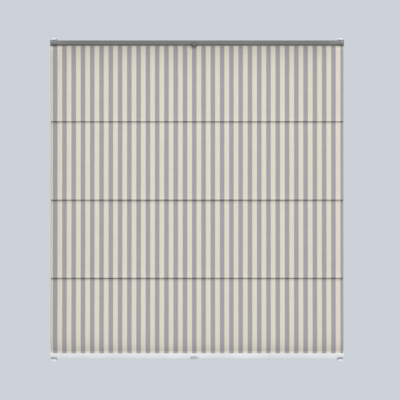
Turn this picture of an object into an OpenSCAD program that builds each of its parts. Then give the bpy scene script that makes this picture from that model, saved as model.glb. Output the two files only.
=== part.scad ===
// Striped roman blind that is clamped to a window sash and runs on two tensioned guide cords.
// The front is -Y and up is +Z. The origin is the middle of the sash's top edge, on its front face.

/* [Blind and sash] */
// Width of the blind over the ends of its rails
blind_w = 1180; // [500:10:1600]
// Height of the sash between the two edges that the brackets clamp
sash_h = 1290; // [900:10:1800]
// Thickness of the sash's edge inside a bracket
lip_t = 16; // [12:1:24]

/* [Rails] */
// Height of a rail
rail_h = 20; // [18:0.5:30]
// Depth of a rail from front to back
rail_d = 22; // [20:0.5:30]
// Wall of the rail section
rail_wall = 1.4; // [1:0.1:2]
// Space between the sash and the back of a rail
rail_back = 6; // [5:0.5:12]
// Distance of a parked rail from the sash's edge
park_z = 6; // [5:0.5:15]
// How far the rail's front wall stops short of its cloth side
step_h = 4.2; // [2:0.1:4.5]
// Radius of that wall's free edge
rail_r = 1.2; // [0.5:0.1:1.4]
// Radius of the rail's other corners
rail_edge_r = 0.8; // [0.4:0.1:2]
// Depth of the line rolled into the rail's front
flute_d = 0.5; // [0.2:0.1:0.8]
// Height of the line rolled into the rail's front
flute_h = 1.2; // [0.6:0.1:3]
// Distance of that line from the rail's outer face
flute_z = 8; // [3:0.5:12]

/* [Cloth channel and strips] */
// Distance of the channel's middle from the sash
channel_y = 19; // [17:0.5:21]
// Width of the channel inside
channel_w = 6.4; // [6:0.2:9]
// Height of the channel inside
channel_h = 4.4; // [3.5:0.1:6]
// Width of the channel's mouth
mouth_w = 3; // [2:0.1:4]
// Thickness of the strip's stem
strip_t = 1.4; // [1:0.1:2]
// Height of the strip's head
strip_head_h = 2; // [1.5:0.1:3]
// Length of the stem outside the rail
strip_drop = 9; // [3:0.5:12]

/* [End caps] */
// Length of an end cap outside the rail
cap_w = 28; // [27.5:0.5:40]
// How far a cap stands proud of the rail's faces
cap_proud = 0.5; // [0.1:0.1:1]
// How much further a cap stands out beside the tension shoe
cap_rise = 1.5; // [0:0.1:2.5]
// Length of the cap's spigot inside the rail
spigot_l = 14; // [8:1:30]
// Depth of the notch that takes the tension shoe
notch_h = 5; // [4:0.25:7]
// Space on each side of the shoe in that notch
notch_side = 2; // [1:0.25:2.5]

/* [Cloth] */
// Distance from the ends of the blind to the cloth's side edges
cloth_inset = 2; // [0:0.5:10]
// Thickness of the cloth
cloth_t = 0.6; // [0.4:0.1:1]
// Height of the panel between the top rail and the first fold
top_panel_h = 305.5; // [150:0.5:400]
// Height of each panel below the first fold
panel_h = 315; // [150:0.5:400]
// How far a panel bows to the front
bow = 1.4; // [0.5:0.1:4]
// How far the last panel bows to the front
tail_bow = 3.6; // [0.5:0.1:6]
// How far a panel's lower edge stands out over the next panel
overhang = 8; // [3:0.1:10]
// Radius of the turn in that edge
lip_r = 1.2; // [1:0.1:2]
// Height of that edge above the seam
lip_h = 0.6; // [0.4:0.1:3]
// How far the seam lies behind the plane of the cloth
seam_in = 0.4; // [0:0.1:0.6]
// Half the height of the seam
seam_r = 0.6; // [0.5:0.05:0.8]
// Distance below the seam where the next panel begins
shoulder_h = 3; // [1.5:0.1:6]
// Width of the side hems
hem_w = 20; // [10:1:30]

/* [Stripes] */
// Distance from stripe to stripe
stripe_pitch = 37.28; // [20:0.02:80]
// Width of a cream stripe
cream_w = 19.2; // [8:0.1:40]
// Place of one cream stripe's left edge from the blind's middle
stripe_x = -2.1; // [-40:0.1:40]
// How much thicker the cream weave is
stripe_raise = 0.12; // [0.05:0.01:0.3]

/* [Batten rods and guides] */
// Diameter of a batten rod
rod_d = 4.5; // [3:0.1:6]
// Distance of the rods' axes from the sash
rod_y = 14.6; // [14:0.1:16]
// Wall of a guide around its rod
guide_wall = 1.3; // [1:0.1:2]
// Length of a guide along its rod
guide_w = 12; // [8:0.5:20]
// Radial space around the cord in a guide
guide_slack = 0.5; // [0.3:0.05:1]

/* [Guide cords] */
// Diameter of a guide cord
cord_d = 1.4; // [1:0.1:2]
// Distance of the cords from the sash
cord_y = 10.5; // [9.5:0.1:12]
// Distance of the cords from the ends of the blind
cord_edge = 14.5; // [14:0.5:15]
// Diameter of a cord brake
brake_d = 6; // [4:0.1:8]
// Length of a cord brake
brake_l = 9; // [5:0.5:12]

/* [Brackets] */
// Width of a bracket
strap_w = 20; // [16:1:22]
// Thickness of the bracket's steel
strap_t = 1.5; // [1:0.1:2]
// Radius of the bracket's bends at mid thickness
bend_r = 1.6; // [1.2:0.1:3]
// Length of the rear leg below the sash's edge
rear_leg = 16; // [14:1:30]
// Length of the front leg below the sash's edge
front_leg = 34; // [20:1:60]
// Width of the front leg, cut out between the prongs
front_leg_w = 10; // [6:0.5:12]
// Space behind the sash's edge for the clamp screw
screw_reach = 2; // [1.5:0.5:5]
// Thickness of the pads
pad_t = 1; // [0.5:0.1:2]
// Diameter of a clamp screw
screw_d = 4; // [3:0.5:5]
// Diameter of a clamp screw's head
screw_head_d = 8; // [6:0.5:10]

/* [Tension shoes] */
// Distance from the sash to the front of a shoe's body
shoe_d = 16; // [15:0.5:24]
// Distance from the sash to the front of the nose that covers the notch in a parked cap
nose_d = 27; // [24:0.5:28]
// Height of the nose
nose_h = 6.5; // [4:0.25:7]
// Radius of a shoe's outer corners
shoe_r = 2.5; // [1:0.25:2.5]
// Height of a shoe above the bracket's prongs
shoe_roof = 1.2; // [0.8:0.1:2]
// How far a shoe reaches into the notch of a parked cap
shoe_nest = 3.5; // [1:0.25:4.5]
// Width of a prong
prong_w = 3.4; // [2:0.1:4]
// Length of the prongs inside a shoe
prong_l = 5; // [3:0.5:5.5]
// Diameter of a cord lock
lock_d = 5; // [3:0.1:6]
// Height of a cord lock
lock_h = 3.4; // [2:0.1:5]
// Wire of a tension spring
spring_wire = 0.6; // [0.4:0.1:0.8]
// Turns of a tension spring
spring_turns = 4; // [3:1:6]

/* [Grips] */
// Width of a grip
grip_w = 34; // [24:1:60]
// Place of the grips from the blind's middle
grip_x = -12; // [-200:1:200]
// How far a grip's pocket stands out from the rail
grip_reach = 10; // [8:0.5:14]
// Height of a grip
grip_h = 14; // [12:0.5:18]
// How far the top grip hangs below the free edge of its rail's front wall
grip_drop = 5; // [3:0.1:6]
// How far the bottom grip hangs below its rail
low_grip_drop = 2.6; // [2:0.1:5]
// Wall of a grip
grip_wall = 1.4; // [1:0.1:2]

/* [Fits] */
// Space between pieces that are pushed together
fit_gap = 0.12; // [0.05:0.01:0.3]
// Radial space of a brake that slides on its cord
slide_gap = 0.05; // [0.02:0.01:0.1]

/* [Hidden] */
ENDS = ["top", "bottom"];
SIDES = ["left", "right"];
FOLDS = [1, 2, 3];
$fn = 48;

// Places along Z, from the sash's top edge
top_rail_z = -park_z;
bottom_rail_z = park_z - sash_h;
cloth_top_z = top_rail_z - rail_h - fit_gap;
cloth_end_z = bottom_rail_z + rail_h + fit_gap;
function fold_z(k) = top_rail_z - rail_h - top_panel_h - (k - 1) * panel_h;

// Places along Y, as distances in front of the sash
rail_front = rail_back + rail_d;
step_y = channel_y + channel_w / 2 + rail_wall;
cloth_y = channel_y + strip_t / 2 + cloth_t / 2;
seam_y = cloth_y - seam_in;

// Places along X, from the blind's middle
cord_x = blind_w / 2 - cord_edge;
rail_l = blind_w - 2 * cap_w;
cloth_w = blind_w - 2 * cloth_inset;
tunnel_l = 2 * (cord_x - guide_w / 2 - fit_gap);

// The bracket's steel lies one pad above the sash's edge
strap_z = pad_t + strap_t / 2;
strap_y = pad_t + strap_t / 2;
prong_x = front_leg_w / 2 + fit_gap + prong_w / 2;
shoe_top = pad_t + strap_t + shoe_roof;
shoe_foot = -park_z - shoe_nest;
shoe_back = pad_t + strap_t + fit_gap;
lock_seat = shoe_top - lock_h;
spring_l = 2 * spring_wire * spring_turns;

// A unit vector, and the sideways direction of a path at one of its points
function unit(v) = v / norm(v);
function side_of(path, i) =
    let (ahead = path[min(i + 1, len(path) - 1)], behind = path[max(i - 1, 0)], d = unit(ahead - behind))
    [-d[1], d[0]];

// The outline of a strip along a path, from one distance beside it to another
function strip_outline(path, near, far) = concat(
    [for (i = [0 : len(path) - 1]) path[i] + side_of(path, i) * near],
    [for (i = [len(path) - 1 : -1 : 0]) path[i] + side_of(path, i) * far]
);

// A path whose corners are bends of one radius
function bent_path(points, r, steps = 6) = [
    for (i = [0 : len(points) - 1])
        if (i == 0 || i == len(points) - 1) points[i]
        else
            let (
                u = unit(points[i] - points[i - 1]),
                v = unit(points[i + 1] - points[i]),
                turn = u[0] * v[1] - u[1] * v[0] > 0 ? 1 : -1,
                whole = acos(max(-1, min(1, u * v))),
                start = points[i] - u * r * tan(whole / 2),
                centre = start + turn * r * [-u[1], u[0]]
            )
            for (k = [0 : steps])
                let (a = -turn * 90 + turn * whole * k / steps)
                centre + r * (cos(a) * u + sin(a) * [-u[1], u[0]])
];

// The corner of a box as an arc, from one quarter turn to the next
function corner(centre, r, from, steps = 5) =
    [for (k = [0 : steps]) centre + r * [cos(from + 90 * k / steps), sin(from + 90 * k / steps)]];

// A side view in Y and Z, drawn out along X about the middle
module along_x(length) {
    rotate([90, 0, 90])
        linear_extrude(length, center = true)
            children();
}

// A piece that is drawn at the origin goes to one of the four corners, with its outer end out
module at_corner(end, side) {
    translate([(side == "left" ? -1 : 1) * cord_x, 0, end == "top" ? 0 : -sash_h])
        mirror([side == "left" ? 0 : 1, 0, 0])
            mirror([0, 0, end == "top" ? 0 : 1])
                children();
}

// A rail that is drawn with its outer face up and its cloth side down goes to the top or the bottom
module at_rail(end) {
    translate([0, 0, end == "top" ? top_rail_z : bottom_rail_z])
        mirror([0, 0, end == "top" ? 0 : 1])
            children();
}

module rail_colour(end) {
    color(end == "top" ? "#7f7e7c" : "#e2e3e8")
        children();
}

// The rail's outside in side view, larger by a margin and higher by a rise, with its cloth side down
module rail_outline(margin = 0, rise = 0) {
    front = -rail_front - margin;
    back = -rail_back + margin;
    top = margin + rise;
    low = -rail_h - margin;
    polygon(concat(
        corner([back - rail_edge_r, top - rail_edge_r], rail_edge_r, 0),
        corner([front + rail_edge_r, top - rail_edge_r], rail_edge_r, 90),
        corner([front + rail_r, low + step_h + rail_r], rail_r, 180),
        [[-step_y - margin, low + step_h]],
        corner([-step_y - margin + rail_edge_r, low + rail_edge_r], rail_edge_r, 180),
        corner([back - rail_edge_r, low + rail_edge_r], rail_edge_r, 270)
    ));
}

// The rail's upper chamber, which also takes the caps' spigots
module chamber(margin = 0) {
    chamber_h = rail_h - channel_h - 3 * rail_wall;
    translate([-rail_front + rail_wall + flute_d + margin, -rail_wall - chamber_h + margin])
        square([rail_d - 2 * rail_wall - flute_d - 2 * margin, chamber_h - 2 * margin]);
}

// The rail's section: a chamber, the cloth's channel below it, a rear cell and a free front edge
module rail_section() {
    cell_z = -rail_h + rail_wall;
    rear_cell = channel_y - channel_w / 2 - rail_back - 2 * rail_wall;
    difference() {
        rail_outline();
        chamber();
        translate([-channel_y - channel_w / 2, cell_z])
            square([channel_w, channel_h]);
        translate([-channel_y - mouth_w / 2, -rail_h - rail_wall])
            square([mouth_w, 3 * rail_wall]);
        translate([-rail_front + rail_wall, cell_z])
            square([rail_front - step_y - rail_wall, channel_h]);
        if (rear_cell > rail_wall)
            translate([-channel_y + channel_w / 2 + rail_wall, cell_z])
                square([rear_cell, channel_h]);
        translate([-rail_front, -flute_z])
            polygon([[-flute_d, flute_h], [flute_d, 0], [-flute_d, -flute_h]]);
    }
}

module rail(end) {
    rail_colour(end)
        at_rail(end)
            along_x(rail_l)
                rail_section();
}

// The strip's head slides in the channel, and its stem carries the edge of the cloth
module strip(end) {
    color("#d9d6cb")
        at_rail(end) {
            along_x(rail_l)
                translate([-channel_y, 0]) {
                    translate([-channel_w / 2 + 2 * fit_gap, -rail_h + rail_wall + fit_gap])
                        square([channel_w - 4 * fit_gap, strip_head_h]);
                    translate([-strip_t / 2, -rail_h - strip_drop])
                        square([strip_t, strip_drop + rail_wall + strip_head_h]);
                }
            along_x(cloth_w)
                translate([-channel_y - strip_t / 2, -rail_h - strip_drop])
                    square([strip_t, strip_drop - cap_proud - fit_gap]);
        }
}

// An end cap with its spigot, the notch for the shoe and the bore for the brake and the cord
module cap(end, side) {
    brake_z = -park_z - rail_h - cap_proud;
    rail_colour(end)
        at_corner(end, side)
            difference() {
                union() {
                    translate([cap_w / 2 - cord_edge, 0, -park_z])
                        along_x(cap_w)
                            rail_outline(cap_proud, cap_rise);
                    translate([cap_w - cord_edge + spigot_l / 2, 0, -park_z])
                        along_x(spigot_l)
                            chamber(fit_gap);
                }
                translate([-strap_w / 2 - notch_side, -rail_front - 1, -park_z - notch_h])
                    cube([strap_w + 2 * notch_side, rail_d + 2, notch_h + cap_proud + cap_rise + 1]);
                translate([0, -cord_y, brake_z - 1]) {
                    cylinder(r = cord_d / 2 + guide_slack, h = rail_h);
                    cylinder(r = brake_d / 2 + slide_gap, h = brake_l + fit_gap + 1);
                }
            }
}

// A rubber bush in the cap's bore, with a softened mouth where the cord enters
module brake(end, side) {
    color("#3b3b3d")
        at_corner(end, side)
            translate([0, -cord_y, -park_z - rail_h - cap_proud])
                difference() {
                    cylinder(r = brake_d / 2, h = brake_l);
                    translate([0, 0, -1])
                        cylinder(r = cord_d / 2 + slide_gap, h = brake_l + 2);
                    translate([0, 0, -0.01])
                        cylinder(r1 = cord_d, r2 = cord_d / 2, h = cord_d / 2);
                }
}

// The radius of an arc from its chord and its height
function arc_r(chord, height) = (chord * chord / 4 + height * height) / (2 * height);

// A lens in front view: two arcs that meet at its ends
module lens(r) {
    intersection_for (s = [-1, 1])
        translate([0, s * (r - grip_h / 2)])
            circle(r, $fn = 96);
}

// A scoop for a fingertip: a plate shaped like a lens, with an open pocket on its lower half
module grip(end) {
    low = end == "top" ? top_rail_z - rail_h + step_h : bottom_rail_z;
    drop = end == "top" ? grip_drop : low_grip_drop;
    lens_r = arc_r(grip_w, grip_h / 2);
    reach_r = arc_r(grip_w, grip_reach);
    foot_w = 0.4 * grip_w;
    foot_l = 2 * rail_wall;
    rail_colour(end)
        translate([grip_x, -rail_front, low + grip_h / 2 - drop]) {
            difference() {
                intersection() {
                    rotate([90, 0, 0])
                        linear_extrude(grip_reach)
                            lens(lens_r);
                    translate([0, reach_r - grip_reach, -grip_h])
                        cylinder(r = reach_r, h = 2 * grip_h, $fn = 96);
                }
                translate([-grip_w, -grip_reach - grip_wall, 0])
                    cube([2 * grip_w, grip_reach, grip_h]);
                intersection() {
                    translate([0, -grip_wall, lens_r - grip_h / 2])
                        rotate([90, 0, 0])
                            cylinder(r = lens_r - grip_wall, h = grip_reach, $fn = 96);
                    translate([0, reach_r - grip_reach, -grip_h])
                        cylinder(r = reach_r - grip_wall, h = 2 * grip_h, $fn = 96);
                }
            }
            translate([-foot_w / 2, -grip_wall / 2, drop - grip_h / 2 - grip_wall])
                cube([foot_w, foot_l + grip_wall / 2, grip_wall]);
        }
}

// Bent steel: a rear leg, a web over the sash's edge, a front leg and two prongs for the shoe
module bracket(end, side) {
    rear_y = lip_t + screw_reach + strap_t / 2;
    rear_path = [[rear_y, -rear_leg], [rear_y, strap_z], [-strap_y + bend_r, strap_z]];
    front_path = [[lip_t / 2, strap_z], [-strap_y, strap_z], [-strap_y, -front_leg]];
    color("#eceded")
        at_corner(end, side)
            difference() {
                union() {
                    along_x(strap_w)
                        polygon(strip_outline(bent_path(rear_path, bend_r), strap_t / 2, -strap_t / 2));
                    along_x(front_leg_w)
                        polygon(strip_outline(bent_path(front_path, bend_r), strap_t / 2, -strap_t / 2));
                    for (s = [-1, 1])
                        translate([s * prong_x - prong_w / 2, -shoe_back - prong_l, pad_t])
                            cube([prong_w, shoe_back + prong_l, strap_t]);
                }
                translate([0, rear_y, -rear_leg / 2])
                    rotate([90, 0, 0])
                        cylinder(r = screw_d / 2 + slide_gap, h = 3 * strap_t, center = true);
            }
}

// A soft pad on the inside of the bracket's web and front leg, relieved at the bend
module pad(end, side) {
    color("#9a9b9d")
        at_corner(end, side) {
            along_x(strap_w)
                square([lip_t, pad_t]);
            along_x(front_leg_w)
                polygon([
                    [-pad_t, -front_leg], [0, -front_leg], [0, 0], [lip_t / 2, 0],
                    [lip_t / 2, pad_t], [0, pad_t], [-pad_t, 0]
                ]);
        }
}

// The screw that clamps the sash's edge from behind, with a hexagonal socket
module clamp_screw(end, side) {
    head_h = screw_d * 0.7;
    shank_l = screw_reach + strap_t + 3;
    color("#b9bbbe")
        at_corner(end, side)
            translate([0, lip_t, -rear_leg / 2])
                rotate([-90, 0, 0])
                    difference() {
                        union() {
                            cylinder(r = screw_d / 2, h = shank_l);
                            translate([0, 0, shank_l])
                                cylinder(r = screw_head_d / 2, h = head_h);
                        }
                        translate([0, 0, shank_l + head_h / 2])
                            cylinder(r = screw_d * 0.36, h = head_h, $fn = 6);
                    }
}

// The moulded shoe: a nose over the cap's notch, slots for the prongs, a well for the lock and spring
module tension_shoe(end, side) {
    shoe_l = shoe_top - shoe_foot;
    nose_z = shoe_top - nose_h;
    well_r = lock_d / 2 + fit_gap + 0.3;
    well_floor = end == "top" ? lock_seat : lock_seat - spring_l - fit_gap;
    color("#e9eaec")
        at_corner(end, side)
            difference() {
                intersection() {
                    translate([0, 0, shoe_foot])
                        linear_extrude(shoe_l)
                            polygon(concat(
                                corner([strap_w / 2 - shoe_r, shoe_r - nose_d], shoe_r, 270),
                                [[strap_w / 2, -shoe_back], [-strap_w / 2, -shoe_back]],
                                corner([shoe_r - strap_w / 2, shoe_r - nose_d], shoe_r, 180)
                            ));
                    rotate([90, 0, 0])
                        linear_extrude(nose_d)
                            polygon(concat(
                                corner([strap_w / 2 - shoe_r, shoe_top - shoe_r], shoe_r, 0),
                                corner([shoe_r - strap_w / 2, shoe_top - shoe_r], shoe_r, 90),
                                [[-strap_w / 2, shoe_foot], [strap_w / 2, shoe_foot]]
                            ));
                }
                translate([-strap_w, -shoe_d - rail_d, shoe_foot - 1])
                    cube([2 * strap_w, rail_d, nose_z - shoe_foot + 1]);
                for (s = [-1, 1])
                    translate([s * prong_x, -shoe_back - prong_l / 2, strap_z])
                        cube([prong_w + 2 * fit_gap, prong_l + 2 * fit_gap, strap_t + 2 * fit_gap],
                            center = true);
                translate([0, -cord_y, shoe_foot - 1])
                    cylinder(r = cord_d / 2 + slide_gap, h = shoe_l + 2);
                translate([0, -cord_y, well_floor])
                    cylinder(r = well_r, h = shoe_top - well_floor + 1);
            }
}

// A collar on the end of a cord, with a saw cut across its head
module cord_lock(end, side) {
    color("#c9a86a")
        at_corner(end, side)
            translate([0, -cord_y, lock_seat])
                difference() {
                    cylinder(r = lock_d / 2, h = lock_h - fit_gap);
                    translate([0, 0, -1])
                        cylinder(r = cord_d / 2 + slide_gap, h = lock_h + 2);
                    translate([-lock_d, -spring_wire / 2, lock_h - fit_gap - spring_wire])
                        cube([2 * lock_d, spring_wire, 1]);
                }
}

// A coil of round wire below the lock, swept ring by ring along its helix
module tension_spring(side) {
    wire_sides = 6;
    rings_a_turn = 14;
    ring_count = rings_a_turn * spring_turns;
    coil_r = lock_d / 2 - spring_wire / 2;
    rise = spring_l - spring_wire - 2 * fit_gap;
    rings = [
        for (i = [0 : ring_count], j = [0 : wire_sides - 1])
            let (a = 360 * i / rings_a_turn, b = 360 * j / wire_sides, r = coil_r + spring_wire / 2 * cos(b))
            [r * cos(a), r * sin(a), rise * i / ring_count + spring_wire / 2 * sin(b)]
    ];
    skin = [
        for (i = [0 : ring_count - 1], j = [0 : wire_sides - 1])
            let (here = i * wire_sides, next = here + wire_sides, k = (j + 1) % wire_sides)
            [here + j, next + j, next + k, here + k]
    ];
    near_end = [for (j = [0 : wire_sides - 1]) j];
    far_end = [for (j = [wire_sides - 1 : -1 : 0]) ring_count * wire_sides + j];
    color("#b0b3b8")
        at_corner("bottom", side)
            translate([0, -cord_y, lock_seat - spring_l + spring_wire / 2])
                polyhedron(rings, concat(skin, [near_end, far_end]), convexity = 4);
}

// A straight cord from the lock at the top to the lock at the bottom
module guide_cord(side) {
    reach = shoe_top - 2 * fit_gap;
    color("#dcdcd6")
        translate([(side == "left" ? -1 : 1) * cord_x, -cord_y, -sash_h - reach])
            cylinder(r = cord_d / 2, h = sash_h + 2 * reach);
}

// A round rod in the tunnel behind a fold
module batten(k) {
    color("#e8e6dd")
        translate([0, -rod_y, fold_z(k)])
            rotate([0, 90, 0])
                cylinder(r = rod_d / 2, h = 2 * cord_x + guide_w - 2 * guide_wall, center = true);
}

// A moulded guide on the end of a rod, with an eye for the cord behind the rod
module batten_guide(k, side) {
    shell_r = rod_d / 2 + slide_gap + guide_wall;
    eye_r = cord_d / 2 + guide_slack;
    s = side == "left" ? -1 : 1;
    color("#e9eaec")
        translate([s * cord_x, 0, fold_z(k)])
            difference() {
                rotate([0, 90, 0])
                    hull() {
                        translate([0, -rod_y, 0])
                            cylinder(r = shell_r, h = guide_w, center = true, $fn = 32);
                        translate([0, -cord_y + eye_r + guide_wall - 1, 0])
                            cube([1.4 * shell_r, 2, guide_w], center = true);
                    }
                translate([-s * guide_wall, -rod_y, 0])
                    rotate([0, 90, 0])
                        cylinder(r = rod_d / 2 + slide_gap, h = guide_w, center = true);
                translate([0, -cord_y, 0])
                    cylinder(r = eye_r, h = 4 * shell_r, center = true);
            }
}

// One panel of the cloth in side view, from its upper to its lower edge
function panel_path(from_z, to_z, lean, out, steps = 4) = [
    for (k = [0 : steps])
        let (s = (1 - cos(180 * k / steps)) / 2)
        [-cloth_y - lean * (1 - pow(1 - s, 2)) - out * (1 - pow(1 - 2 * s, 4)), from_z + (to_z - from_z) * s]
];

// All panels, from the upper strip to the lower strip
function panels() = [
    for (k = [0 : len(FOLDS)])
        let (last = k == len(FOLDS))
        panel_path(
            k == 0 ? cloth_top_z - strip_drop : fold_z(k) - shoulder_h,
            last ? cloth_end_z + strip_drop : fold_z(k + 1) + lip_h + lip_r,
            last ? 0 : overhang,
            last ? tail_bow : bow
        )
];

// The tuck at a fold: round the lower edge of a panel, back to the seam and out of it again
function tuck_path(z) = concat(
    [for (a = [225, 270]) [lip_r - cloth_y - overhang, z + lip_h + lip_r] + lip_r * [cos(a), sin(a)]],
    [for (a = [1, 0, -1]) [(a == 0 ? seam_r : 0) - seam_y, z + a * seam_r]]
);

// The whole cloth in side view, from the upper strip to the lower strip
function cloth_path() = concat(
    [[-cloth_y, cloth_top_z - cap_proud]],
    [for (k = [0 : len(FOLDS)]) each concat(panels()[k], k == len(FOLDS) ? [] : tuck_path(fold_z(k + 1)))],
    [[-cloth_y, cloth_end_z + cap_proud]]
);

// The tunnel for a batten rod, behind a fold
module tunnel(k) {
    wall_r = rod_d / 2 + 2 * fit_gap + cloth_t;
    translate([0, 0, fold_z(k)])
        difference() {
            union() {
                translate([0, -rod_y, 0])
                    rotate([0, 90, 0])
                        cylinder(r = wall_r, h = tunnel_l, center = true);
                translate([-tunnel_l / 2, seam_r - seam_y, -cloth_t])
                    cube([tunnel_l, seam_y - seam_r - rod_y, 2 * cloth_t]);
            }
            translate([0, -rod_y, 0])
                rotate([0, 90, 0])
                    cylinder(r = wall_r - cloth_t, h = tunnel_l + 2, center = true);
        }
}

// The sheet with its tucks, side hems and tunnels, and the thicker cream stripes on its front
module cloth() {
    path = cloth_path();
    half = cloth_w / 2;
    first = ceil((-half - stripe_x) / stripe_pitch) - 1;
    last = floor((half - stripe_x) / stripe_pitch);
    color("#a09fa6") {
        along_x(cloth_w)
            polygon(strip_outline(path, -cloth_t / 2, cloth_t / 2));
        for (s = [-1, 1], panel = panels())
            translate([s * (half - hem_w / 2), 0, 0])
                along_x(hem_w)
                    polygon(strip_outline(panel, 0, cloth_t * 1.5));
        for (k = FOLDS)
            tunnel(k);
    }
    color("#ddd8c6")
        for (n = [first : last]) {
            left = max(-half, stripe_x + n * stripe_pitch);
            right = min(half, stripe_x + n * stripe_pitch + cream_w);
            if (right > left)
                translate([(left + right) / 2, 0, 0])
                    along_x(right - left)
                        polygon(strip_outline(path, -cloth_t / 2 - stripe_raise, 0));
        }
}

for (e = ENDS, s = SIDES) {
    bracket(e, s);
    pad(e, s);
    clamp_screw(e, s);
    tension_shoe(e, s);
    cord_lock(e, s);
    cap(e, s);
    brake(e, s);
}
for (s = SIDES) {
    tension_spring(s);
    guide_cord(s);
}
for (e = ENDS) {
    rail(e);
    strip(e);
    grip(e);
}
for (k = FOLDS) {
    batten(k);
    for (s = SIDES)
        batten_guide(k, s);
}
cloth();
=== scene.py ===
"""Dresses a striped roman blind, held on two tensioned guide cords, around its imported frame."""
import logging
import math
from collections.abc import Callable, Sequence
from dataclasses import dataclass, field
from enum import Enum

import bmesh
import bpy
import numpy as np
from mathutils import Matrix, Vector


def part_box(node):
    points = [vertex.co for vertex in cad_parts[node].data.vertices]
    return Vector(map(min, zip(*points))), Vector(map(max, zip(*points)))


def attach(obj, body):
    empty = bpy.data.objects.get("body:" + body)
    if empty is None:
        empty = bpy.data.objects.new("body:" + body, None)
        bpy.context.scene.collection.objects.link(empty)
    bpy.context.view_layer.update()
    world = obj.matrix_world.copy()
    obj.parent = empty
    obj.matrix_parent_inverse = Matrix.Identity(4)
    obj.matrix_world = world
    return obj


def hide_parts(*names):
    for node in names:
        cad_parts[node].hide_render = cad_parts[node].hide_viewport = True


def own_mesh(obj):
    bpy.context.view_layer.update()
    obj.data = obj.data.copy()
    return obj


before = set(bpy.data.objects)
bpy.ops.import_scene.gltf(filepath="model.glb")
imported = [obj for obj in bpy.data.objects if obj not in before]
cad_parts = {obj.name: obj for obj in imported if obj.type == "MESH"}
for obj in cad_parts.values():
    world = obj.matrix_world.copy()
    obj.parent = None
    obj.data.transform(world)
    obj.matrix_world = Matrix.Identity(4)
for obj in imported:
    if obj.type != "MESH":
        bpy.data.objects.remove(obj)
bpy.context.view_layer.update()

MM = 0.001
LOG = logging.getLogger("roman_blind")

Piece = bpy.types.Object
Socket = bpy.types.NodeSocket
Tree = bpy.types.NodeTree


class End(Enum):
    """The two ends of the blind."""

    TOP = "top"
    BOTTOM = "bottom"


class Side(Enum):
    """The two sides of the blind, seen from its front."""

    LEFT = "left"
    RIGHT = "right"


def linear(hex_colour: str) -> tuple[float, float, float, float]:
    """Turns an sRGB hex colour into linear light.

    Args:
        hex_colour: A hash sign and six hex digits.

    Returns:
        Red, green and blue, and an alpha of one.
    """
    parts = [int(hex_colour[i : i + 2], 16) / 255 for i in (1, 3, 5)]
    light = [c / 12.92 if c <= 0.04045 else ((c + 0.055) / 1.055) ** 2.4 for c in parts]
    return light[0], light[1], light[2], 1.0


def per_metre(size_mm: float) -> float:
    """Gives a texture's scale from the real size of one repeat, in millimetres."""
    return 1 / (size_mm * MM)


def add_node(tree: Tree, kind: str, inputs: dict | None = None, **settings) -> bpy.types.Node:
    """Adds one shader node.

    Args:
        tree: The tree that takes the node.
        kind: The node's type name.
        inputs: Values or other nodes' outputs, by the input's name or number.
        **settings: The node's own settings, by name.

    Returns:
        The new node.
    """
    node = tree.nodes.new(kind)
    for name, value in settings.items():
        setattr(node, name, value)
    for key, value in (inputs or {}).items():
        if isinstance(value, Socket):
            tree.links.new(value, node.inputs[key])
        else:
            node.inputs[key].default_value = value
    return node


def new_object(name: str, data: bpy.types.ID) -> Piece:
    """Brings a mesh, a lamp or a camera into the scene.

    Args:
        name: The object's name.
        data: What it shows.

    Returns:
        The new object.
    """
    thing = bpy.data.objects.new(name, data)
    bpy.context.scene.collection.objects.link(thing)
    return thing


def new_material(name: str) -> tuple[bpy.types.Material, Tree]:
    """Makes an empty material.

    Args:
        name: Its name.

    Returns:
        The material and its tree, without nodes.
    """
    material = bpy.data.materials.new(name)
    material.use_nodes = True
    material.node_tree.nodes.clear()
    return material, material.node_tree


@dataclass
class Surface:
    """What a finish draws its pattern on.

    Attributes:
        tree: The material's tree.
        shader: The shader that takes the pattern.
        place: The point on the piece, in metres.
    """

    tree: Tree
    shader: bpy.types.Node
    place: Socket

    def streaks(self, sizes_mm: Sequence[float], detail: float) -> Socket:
        """Gives noise that is stretched to real sizes.

        Args:
            sizes_mm: Sizes of one streak along X, Y and Z.
            detail: How much finer noise lies on the streaks.

        Returns:
            The noise, from zero to one.
        """
        stretched = add_node(self.tree, "ShaderNodeMapping", {
            "Vector": self.place, "Scale": tuple(per_metre(size) for size in sizes_mm),
        })
        return add_node(self.tree, "ShaderNodeTexNoise", {
            "Vector": stretched.outputs["Vector"], "Scale": 1.0, "Detail": detail,
        }).outputs["Fac"]

    def toned(self, base: Socket | Sequence[float], drift: dict) -> Socket:
        """Gives a colour whose tone drifts.

        Args:
            base: The colour.
            drift: The inputs of the range that turns a pattern into the tone.

        Returns:
            The new colour.
        """
        tone = add_node(self.tree, "ShaderNodeMapRange", drift).outputs["Result"]
        scaled = add_node(self.tree, "ShaderNodeVectorMath", {0: base, "Scale": tone}, operation="SCALE")
        return scaled.outputs["Vector"]

    def cover(self, base: Socket, height: Socket, depth_mm: float,
              gloss: tuple[float, float] | None = None) -> None:
        """Covers the surface with a colour and a relief.

        Args:
            base: The colour.
            height: The relief's height, from zero to one.
            depth_mm: The relief's depth.
            gloss: The lowest and highest roughness, where it follows the relief.
        """
        links, inputs = self.tree.links, self.shader.inputs
        bump = add_node(self.tree, "ShaderNodeBump", {"Height": height, "Distance": depth_mm * MM})
        links.new(base, inputs["Base Color"])
        links.new(bump.outputs["Normal"], inputs["Normal"])
        if gloss:
            rough = add_node(self.tree, "ShaderNodeMapRange", {
                "Value": height, "To Min": gloss[0], "To Max": gloss[1],
            })
            links.new(rough.outputs["Result"], inputs["Roughness"])


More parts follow.
